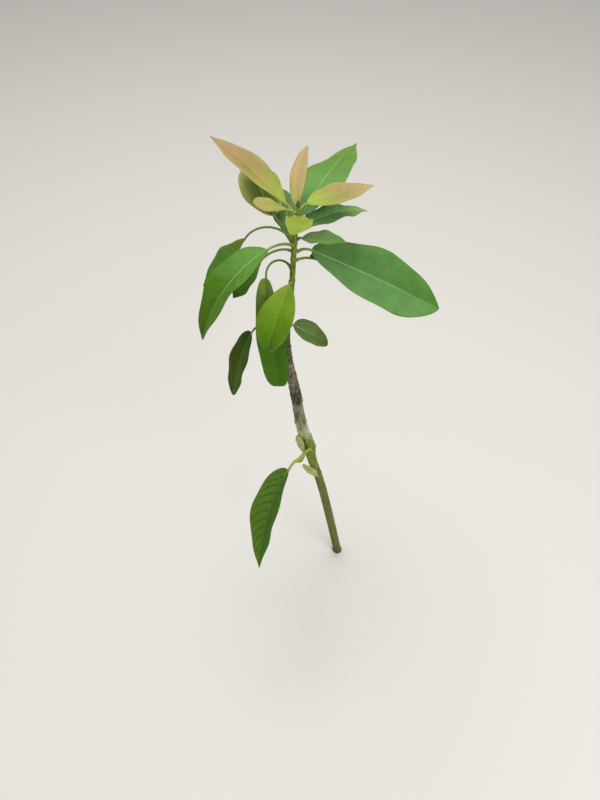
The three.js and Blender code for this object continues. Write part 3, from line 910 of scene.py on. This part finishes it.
def barkMaterial():
    look = barkLook
    material, tree, shader = newMaterial("stemBark", roughness=0.7)
    position = objectPosition(tree)
    height = splitOf(tree, position)[2]
    raised = splitOf(tree, mapOf(tree))[0]
    bark = useGroup(tree, barkGroup, Position=position)
    patches = bark["Patches"]
    drift = calculate(tree, "SUBTRACT", patches, 0.5)
    wandering = calculate(tree, "MULTIPLY_ADD", drift, look["wander"], height)
    share = calculate(tree, "DIVIDE", wandering, look["rampTop"])
    shade = rampOf(tree, share, [(h * millimetre / look["rampTop"], name) for h, name in barkTones])
    woody = rangeOf(tree, height, *look["woodyStart"])
    woody = product(tree, woody, rangeOf(tree, height, *look["woodyEnd"]))
    knobbly = rangeOf(tree, height, *look["knobblyStart"])
    shade = marked(tree, shade, "scionDark", patches, look["brown"], woody)
    shade = marked(tree, shade, "callusPale", patches, look["pale"], woody)
    shade = dimmed(tree, shade, rangeOf(tree, bark["Streaks"], *look["streaks"]))
    shade = dimmed(tree, shade, rangeOf(tree, bark["Bands"], *look["bands"]))
    shade = marked(tree, shade, "crack", bark["Speckle"], look["speckle"], knobbly)
    shade = marked(tree, shade, "barkPale", bark["Speckle"], look["fleck"], knobbly)
    shade = tinted(tree, shade, "barkPale", bark["Dots"], rangeOf(tree, patches, *look["dots"]))
    # Paler where the relief is raised; darker where it is sunk, which is painted shade in the cuts,
    # cracks and grooves
    shade = marked(tree, shade, "barkPale", raised, look["ridge"])
    shade = marked(tree, shade, "crack", raised, look["crack"])
    tree.links.new(rangeOf(tree, patches, *look["roughness"]), shader.inputs["Roughness"])
    relief = summed(tree, *[(bark[name], part) for name, part in look["relief"].items()])
    dress(tree, shader, shade, relief, distance=0.0005, strength=0.55)
    return material


def makeStem():
    top = stem["heights"][-1]
    bm = startMesh()
    turn = bm.verts.layers.float["turn"]
    along = bm.verts.layers.float["along"]
    ring, edges = startRing(bm, stem["sides"], True)
    for index in range(stem["rings"] + 1):
        height = top * index / stem["rings"]
        if index > 0:
            ring, edges = nextRing(bm, edges)
        closing = min(1, (top - height) / stem["tipHeight"] + stem["tipShare"])
        for vert in ring:
            azimuth = vert[turn]
            relief = barkRelief(height, azimuth)
            vert[along] = barkLook["plain"] + barkLook["mapScale"] * relief
            radius = (barkRadius(height, azimuth) + relief) * closing
            vert.co = (stemPoint(height) + level(azimuth) * radius) * millimetre
    bmesh.ops.contextual_create(bm, geom=edges)
    finishMesh(bm, "stem_bark", [barkMaterial()], "trunk")


makeStem()
print("stem made")


# Bark flaps of the graft

flaps = {
    "graft_flap_upper": {
        "height": 292, "seat": -134, "azimuth": 190, "rise": 80, "length": 35, "width": 11.5,
        "bend": -4, "swing": 15, "roll": -42, "shoulder": 0.34, "point": 0.44, "petioleRadius": 2.7,
        "middle": "cutLemon"},
    "graft_flap_lower": {
        "height": 234, "seat": -82, "azimuth": 187, "rise": 64, "length": 39, "width": 10,
        "bend": 6, "swing": 10, "roll": 86, "shoulder": 0.7, "point": 0.55, "middle": "cutOlive"},
}
flapUsual = {
    "petiole": 1, "petioleRadius": 1.2, "fold": 0, "turn": 0, "belly": 0.5, "thickness": 2.3,
    "marginThin": 0.6, "grid": (72, 24), "curl": 0.5, "ragged": 0.18,
    # wrinkles and fibres: how high they are, and their sizes along and across
    "wrinkle": 0.7, "wrinkleSize": (5, 4), "ridge": 0.4, "ridgeSize": (12, 1.1), "ridgeSeed": 7,
}

# Marks are low, high and strength
flapLook = {
    "stretch": (3, 26, 1), "fibres": (0.4, 0.62), "core": (0.3, 0.08, 0.75), "corePatches": (0.3, 0.6),
    "bruise": (0.5, 0.64, 0.4), "foot": (0.2, 0.0, 0.7), "rim": (0.45, 0.5, 0.4), "raisedFibres": 1.6,
}


def flapLift(flap, t, across, width, seed):
    def bumps(size, shift):
        x = t * flap["length"] / size[0]
        return noise.noise(Vector((x + seed, across * width / size[1], seed + shift)))

    wrinkled = flap["wrinkle"] * bumps(flap["wrinkleSize"], 0)
    fibrous = flap["ridge"] * bumps(flap["ridgeSize"], flap["ridgeSeed"])
    return wrinkled + fibrous - flap["curl"] * across**2 * swelling(t)


def flapMaterial(name, middle):
    look = flapLook
    material, tree, shader = newMaterial(name, roughness=0.6, gloss=0.2)
    flapMap = mapOf(tree)
    along, across = splitOf(tree, flapMap)[:2]
    bark = useGroup(tree, barkGroup, Position=objectPosition(tree))
    patches = bark["Patches"]
    drawn = stretched(tree, flapMap, look["stretch"])
    fibres = noiseOf(tree, drawn, scale=1.0, detail=4.0, roughness=0.6)
    aside = calculate(tree, "ABSOLUTE", calculate(tree, "SUBTRACT", across, 0.5))
    shade = blendColours(tree, rangeOf(tree, fibres, *look["fibres"]), tone("cutPale"), tone("cutLime"))
    shade = marked(tree, shade, middle, aside, look["core"], rangeOf(tree, patches, *look["corePatches"]))
    shade = marked(tree, shade, "tan", patches, look["bruise"])
    shade = marked(tree, shade, "graftOlive", along, look["foot"])
    shade = marked(tree, shade, "rind", aside, look["rim"])
    relief = summed(tree, (fibres, look["raisedFibres"]), (bark["Pores"], 1.0))
    dress(tree, shader, shade, relief, distance=0.0004, strength=0.6)
    return material


for seed, (name, sizes) in enumerate(flaps.items()):
    flap = {"lift": sizes["rise"], **flapUsual, **sizes}
    bm = startMesh()
    growBlade(bm, flap, flap["grid"], flap["thickness"], 5.3 * seed, flapLift)
    finishMesh(bm, name + "_fine", [flapMaterial(name, flap["middle"])] * 2, name)
print("graft flaps made")


# Terminal bud: its profile is in shares of radius and height

bud = {
    "radius": 1.7, "height": 6.5, "sink": 0.6, "steps": 36, "mergeDistance": 1e-4, "smooth": 0.6,
    "scales": 3, "scaleTwist": 1.6, "scaleSwell": 0.12,
    "profile": [(0, 0), (0.62, 0.02), (0.88, 0.12), (1, 0.28), (0.93, 0.45), (0.74, 0.62),
                (0.5, 0.78), (0.26, 0.92), (0, 1)],
}


def budMaterial():
    material, tree, shader = newMaterial("budScales", roughness=0.55)
    position = objectPosition(tree)
    mottle = noiseOf(tree, position, scale=900, detail=2.0)
    shade = blendColours(tree, mottle, tone("darkOlive"), tone("softOlive"))
    grain = noiseOf(tree, position, scale=1800, detail=2.0)
    dress(tree, shader, shade, grain, distance=0.0002, strength=0.5)
    return material


def makeBud():
    foot = stemPoint(stem["heights"][-1]) + Vector((0, 0, stem["seatGap"] - bud["sink"]))
    bm = startMesh()
    corners = [bm.verts.new((r * bud["radius"], 0, z * bud["height"])) for r, z in bud["profile"]]
    edges = [bm.edges.new(pair) for pair in zip(corners, corners[1:])]
    bmesh.ops.spin(bm, geom=corners + edges, cent=(0, 0, 0), axis=(0, 0, 1), dvec=(0, 0, 0),
                   angle=2 * math.pi, steps=bud["steps"], use_merge=True, use_duplicate=False)
    bmesh.ops.remove_doubles(bm, verts=bm.verts, dist=bud["mergeDistance"])
    bmesh.ops.subdivide_edges(bm, edges=bm.edges, cuts=1, use_grid_fill=True, smooth=bud["smooth"])
    for vert in bm.verts:
        azimuth = math.atan2(vert.co.y, vert.co.x)
        rise = vert.co.z / bud["height"]
        lap = (bud["scales"] * azimuth / (2 * math.pi) + bud["scaleTwist"] * rise) % 1
        swell = 1 + bud["scaleSwell"] * lap * swelling(rise)
        vert.co = (Vector((vert.co.x * swell, vert.co.y * swell, vert.co.z)) + foot) * millimetre
    finishMesh(bm, "terminal_bud_fine", [budMaterial()], "terminal_bud")


makeBud()
print("bud made")


# Floor, light and camera

floorLook = {"size": 6, "tint": "f0eee8", "roughness": 0.9}
bpy.ops.mesh.primitive_plane_add(size=floorLook["size"], location=(0, 0, 0))
floor = bpy.context.active_object
floor.name = "studioFloor"
floorMaterial, floorTree, floorShader = newMaterial("floorPaper", floorLook["roughness"])
floorShader.inputs["Base Color"].default_value = colour(floorLook["tint"])
floor.data.materials.append(floorMaterial)
floor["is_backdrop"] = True

lights = {
    "skyLight": {"spot": (-0.25, 0.5, 2.4), "aim": (-0.05, 0, 0.4), "size": 1.5, "power": 25},
    "frontLight": {"spot": (0.8, -1.2, 1.6), "aim": (-0.05, 0, 0.4), "size": 1.4, "power": 13},
}
for name, light in lights.items():
    lamp = bpy.data.lights.new(name, "AREA")
    lamp.shape = "DISK"
    lamp.size = light["size"]
    lamp.energy = light["power"]
    lampObject = bpy.data.objects.new(name, lamp)
    bpy.context.scene.collection.objects.link(lampObject)
    lampObject.location = light["spot"]
    lampObject.rotation_mode = "QUATERNION"
    towards = Vector(light["aim"]) - Vector(light["spot"])
    lampObject.rotation_quaternion = towards.to_track_quat("-Z", "Y")

sky = {"tint": (1.0, 0.985, 0.95, 1), "strength": 0.4}
world = bpy.data.worlds.new("softSky")
world.use_nodes = True
background = world.node_tree.nodes["Background"]
background.inputs["Color"].default_value = sky["tint"]
background.inputs["Strength"].default_value = sky["strength"]
bpy.context.scene.world = world

view = {"spot": (-0.0588, -0.4026, 0.900), "down": 52, "lens": 27.09, "sensor": 36, "nearest": 0.01}
camera = bpy.data.cameras.new("photoCamera")
camera.lens = view["lens"]
camera.sensor_width = view["sensor"]
camera.clip_start = view["nearest"]
cameraObject = bpy.data.objects.new("photoCamera", camera)
bpy.context.scene.collection.objects.link(cameraObject)
cameraObject.location = view["spot"]
cameraObject.rotation_euler = (math.radians(90 - view["down"]), 0, 0)
bpy.context.scene.camera = cameraObject
bpy.context.scene.view_settings.view_transform = "Standard"
print("floor, light and camera placed")

low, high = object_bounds()
sizes = {"cad": [list(cadLow), list(cadHigh)], "visual": [list(low), list(high)]}
